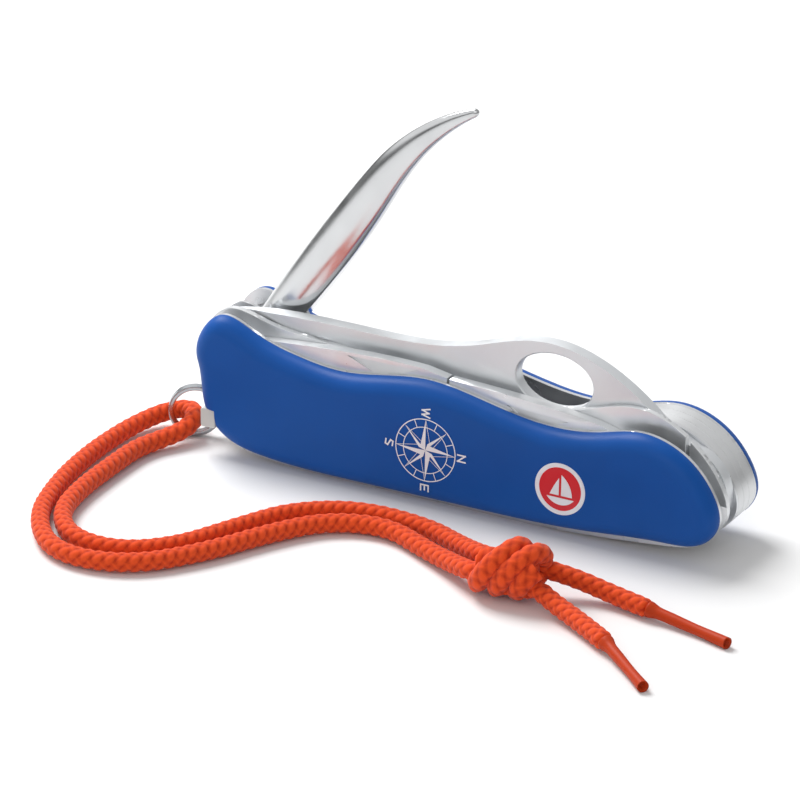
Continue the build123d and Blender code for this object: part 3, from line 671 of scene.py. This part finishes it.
def split_ring_mesh():
    """Two turns of flat wire that pass from one side of the ring to the other."""
    centre = Vector(RING_CENTRE)
    outward = Vector((cos(RING_HEADING), sin(RING_HEADING), 0.0))
    axis = Vector((sin(RING_HEADING), -cos(RING_HEADING), 0.0))
    rings = []
    for step in range(RING_STEPS + 1):
        turns = RING_TURNS * step / RING_STEPS
        crossing = min(1.0, max(0.0, (turns - CROSSING_START) / CROSSING_LENGTH))
        shift = (crossing - 0.5) * (WIRE_AXIAL + TURN_GAP)
        angle = 2 * pi * turns + RING_START
        radial = outward * cos(angle) + Vector((0.0, 0.0, 1.0)) * sin(angle)
        ring = []
        for across, along in WIRE_SECTION:
            reach = RING_RADIUS + across * WIRE_RADIAL
            ring.append((centre + radial * reach + axis * (shift + along * WIRE_AXIAL)) * MM)
        rings.append(ring)
    builder = bmesh.new()
    for face in add_skin(builder, rings):
        face.smooth = True
    bmesh.ops.recalc_face_normals(builder, faces=builder.faces)
    mesh = built_mesh("split_ring", builder)
    mesh.set_sharp_from_angle(angle=WIRE_SHARPNESS)
    return mesh


split_ring = link("split_ring", split_ring_mesh(), "key_ring")
finish_piece(split_ring, "ring_steel")
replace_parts(split_ring, "key_ring")

# ================================================================ compass rose printed on the front scale
ROSE_CENTRE = (-3.9, 11.8)
ROSE_RADIUS = 6.28
INNER_RADIUS = 0.74 * ROSE_RADIUS
ROSE_LINE = 0.20
FINE_LINE = 0.8 * ROSE_LINE
CIRCLE_STEPS = 96
# reach, and turn from the middle line to the waist, of a cardinal point and of a diagonal one
STAR_REACHES = (0.99 * ROSE_RADIUS, 0.96 * ROSE_RADIUS)
STAR_TURNS = (45, 27)
STAR_WAIST = 0.23 * ROSE_RADIUS
STAR_LINE = 0.09
PRINT_Y = -11.33
PATCH_STEP = 0.0004
LETTER_SIZE = 1.6
LETTER_LINE = 0.30
LETTER_DISTANCE = 1.22 * ROSE_RADIUS
# turn round the rose, and the ends of each stroke as (right, up) in shares of the letter's size
LETTERS = {
    "N": (0, [((-0.4, -0.5), (-0.4, 0.5)), ((-0.4, 0.5), (0.4, -0.5)), ((0.4, -0.5), (0.4, 0.5))]),
    "W": (90, [((-0.55, 0.5), (-0.28, -0.5)), ((-0.28, -0.5), (0.0, 0.4)), ((0.0, 0.4), (0.28, -0.5)),
               ((0.28, -0.5), (0.55, 0.5))]),
    "S": (180, [((0.35, 0.42), (-0.2, 0.5)), ((-0.2, 0.5), (-0.35, 0.2)), ((-0.35, 0.2), (0.35, -0.2)),
                ((0.35, -0.2), (0.2, -0.5)), ((0.2, -0.5), (-0.35, -0.42))]),
    "E": (270, [((-0.35, -0.5), (-0.35, 0.5)), ((-0.35, 0.5), (0.38, 0.5)), ((-0.35, 0.0), (0.26, 0.0)),
                ((-0.35, -0.5), (0.38, -0.5))]),
}


def polar(radius, degrees):
    """Place at that radius and counter-clockwise turn."""
    return Vector((radius * cos(radians(degrees)), radius * sin(radians(degrees))))


def stroke(start, end, width):
    """Corners of a straight line of that width."""
    ahead = (end - start).normalized()
    aside = Vector((-ahead.y, ahead.x)) * width / 2
    lengthen = ahead * width / 2
    start, end = start - lengthen, end + lengthen
    return [start - aside, end - aside, end + aside, start + aside]


def circle_strokes(radius, width):
    """Corners of the short quads that make up a circular line."""
    inner, outer = radius - width / 2, radius + width / 2
    turns = [360 * step / CIRCLE_STEPS for step in range(CIRCLE_STEPS + 1)]
    return [
        [polar(inner, start), polar(outer, start), polar(outer, end), polar(inner, end)]
        for start, end in zip(turns, turns[1:])
    ]


def star_point(turn, reach, waist_turn):
    """One star point: its counter-clockwise half is solid and its other half is an outline."""
    tip = polar(reach, turn)
    near, far = polar(STAR_WAIST, turn + waist_turn), polar(STAR_WAIST, turn - waist_turn)
    return [[Vector((0.0, 0.0)), tip, near], stroke(tip, far, STAR_LINE)]


def rose_polygons():
    """Every flat patch of the print, in millimetres from the rose's centre."""
    patches = circle_strokes(ROSE_RADIUS, ROSE_LINE) + circle_strokes(INNER_RADIUS, FINE_LINE)
    for step in range(8):
        tick = 45 * step + 22.5
        patches.append(stroke(polar(INNER_RADIUS, tick), polar(ROSE_RADIUS, tick), FINE_LINE))
        patches += star_point(45 * step, STAR_REACHES[step % 2], STAR_TURNS[step % 2])
    for turn, strokes in LETTERS.values():
        middle = polar(LETTER_DISTANCE, turn)
        for start, end in strokes:
            places = [middle + LETTER_SIZE * Vector((up, -right)) for right, up in (start, end)]
            patches.append(stroke(*places, LETTER_LINE))
    return patches


rose_mesh = bpy.data.meshes.new("rose")
rose_places, rose_faces = [], []
for patch in rose_polygons():
    first = len(rose_places)
    # one small step in front of the patch before it
    level = PRINT_Y - PATCH_STEP * len(rose_faces)
    rose_places += [
        tuple(millimetres(ROSE_CENTRE[0] + corner.x, level, ROSE_CENTRE[1] + corner.y)) for corner in patch
    ]
    rose_faces.append(tuple(range(first, first + len(patch))))
rose_mesh.from_pydata(rose_places, [], rose_faces)
rose = link("compass_rose", rose_mesh, "handle")
finish_piece(rose, "badge_white")

# ================================================================ CAD pieces: eased edges and finishes
SHEET_EDGE = 0.08
TOOL_EDGE = 0.2
# width of the eased edges in millimetres; one narrower than THIN_EDGE is a single facet
EASED = {
    "front_liner": SHEET_EDGE, "middle_liner": SHEET_EDGE, "back_liner": SHEET_EDGE,
    "lock_liner": SHEET_EDGE, "opener_spring": SHEET_EDGE, "spike_spring_1": SHEET_EDGE,
    "spike_spring_2": SHEET_EDGE, "spike_spring_3": SHEET_EDGE, "ring_lug": 0.15, "main_blade": 0.14,
    "screwdriver_opener": TOOL_EDGE, "can_opener": TOOL_EDGE, "toothpick_head": TOOL_EDGE,
    "tweezers_head": TOOL_EDGE,
}
THIN_EDGE = 0.1
SHARP_ANGLE = radians(32)
MERGE_DISTANCE = 0.0005 * MM
FLAT_ANGLE = radians(0.05)


def eased(node, width):
    """Copy of a CAD node with its sharp edges eased, so that they catch the light."""
    source = frame["nodes"][node]
    builder = bmesh.new()
    builder.from_mesh(source.data)
    bmesh.ops.remove_doubles(builder, verts=builder.verts, dist=MERGE_DISTANCE)
    bmesh.ops.dissolve_limit(builder, angle_limit=FLAT_ANGLE, verts=builder.verts, edges=builder.edges)
    mesh = built_mesh(node + "_eased", builder)
    mesh.polygons.foreach_set("use_smooth", [True] * len(mesh.polygons))
    mesh.set_sharp_from_angle(angle=SHARP_ANGLE)
    piece = link(node + "_eased", mesh, source["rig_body"])
    thin = width < THIN_EDGE
    bevel = piece.modifiers.new("eased edges", "BEVEL")
    bevel.width = width * MM
    bevel.segments = 1 if thin else 2
    bevel.limit_method = "ANGLE"
    bevel.angle_limit = SHARP_ANGLE
    bevel.mark_sharp = thin
    bevel.harden_normals = not thin
    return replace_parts(piece, node)


for part in frame["record"]["subparts"]:
    node, slot = part["node"], part["material_slot"]
    if node in EASED:
        finish_piece(eased(node, EASED[node]), slot)
    elif not frame["nodes"][node].hide_render:
        coat(frame["nodes"][node], slot)

# ================================================================ floor and light
FLOOR_SIZE = 6.0
FLOOR_LEVEL = -0.02 * MM
FLOOR_GREY = (0.80, 0.80, 0.80)
half = FLOOR_SIZE / 2
floor_corners = [(-half, -half, 0), (half, -half, 0), (half, half, 0), (-half, half, 0)]
floor_mesh = bpy.data.meshes.new("floor")
floor_mesh.from_pydata(floor_corners, [], [(0, 1, 2, 3)])
floor = bpy.data.objects.new("floor", floor_mesh)
scene.collection.objects.link(floor)
floor.location.z = FLOOR_LEVEL
floor_mesh.materials.append(new_material("pale_floor", FLOOR_GREY, 0.9))


def soft_light(name, place, size, power):
    """Square softbox that faces the knife."""
    data = bpy.data.lights.new(name, "AREA")
    data.size = size
    data.energy = power
    lamp = bpy.data.objects.new(name, data)
    scene.collection.objects.link(lamp)
    lamp.location = place
    lamp.rotation_mode = "QUATERNION"
    lamp.rotation_quaternion = (-Vector(place)).to_track_quat("-Z", "Y")


soft_light("key_softbox", place=(-0.52, 0.20, 0.74), size=0.50, power=9.5)
soft_light("front_softbox", place=(0.25, -0.9, 0.65), size=0.9, power=1.5)

# the sky's brightness by the height of the direction: at the horizon, on the way up and overhead
SKY_LOW = (0.02, 0.12)
SKY_STOPS = ((0.12, 0.30), (0.24, 1.05), (0.50, 1.00), (0.64, 0.60))
SKY_HIGH = (1.0, 0.55)
# and its share from one side to the other, by the direction's X
SHADE_FROM = (-0.2, 1.0)
SHADE_TO = (0.75, 0.6)

world = bpy.data.worlds.new("studio")
world.use_nodes = True
scene.world = world


def grey(level):
    """Neutral colour of that brightness."""
    return (level, level, level, 1.0)


def studio_sky():
    """White tent: dark along the horizon, brightest a little above it, dimmer overhead and towards +X."""
    nodes, links = world.node_tree.nodes, world.node_tree.links
    place = nodes.new("ShaderNodeTexCoord")
    split = nodes.new("ShaderNodeSeparateXYZ")
    links.new(place.outputs["Generated"], split.inputs["Vector"])
    height = nodes.new("ShaderNodeValToRGB")
    for stop, (position, level) in zip(height.color_ramp.elements, (SKY_LOW, SKY_HIGH)):
        stop.position = position
        stop.color = grey(level)
    for position, level in SKY_STOPS:
        height.color_ramp.elements.new(position).color = grey(level)
    links.new(split.outputs["Z"], height.inputs["Fac"])
    side = nodes.new("ShaderNodeMapRange")
    side.inputs["From Min"].default_value, side.inputs["To Min"].default_value = SHADE_FROM
    side.inputs["From Max"].default_value, side.inputs["To Max"].default_value = SHADE_TO
    links.new(split.outputs["X"], side.inputs["Value"])
    level = nodes.new("ShaderNodeMath")
    level.operation = "MULTIPLY"
    links.new(height.outputs["Color"], level.inputs[0])
    links.new(side.outputs["Result"], level.inputs[1])
    nodes["Background"].inputs["Color"].default_value = grey(1.0)
    links.new(level.outputs["Value"], nodes["Background"].inputs["Strength"])


studio_sky()
scene.view_settings.view_transform = "Standard"
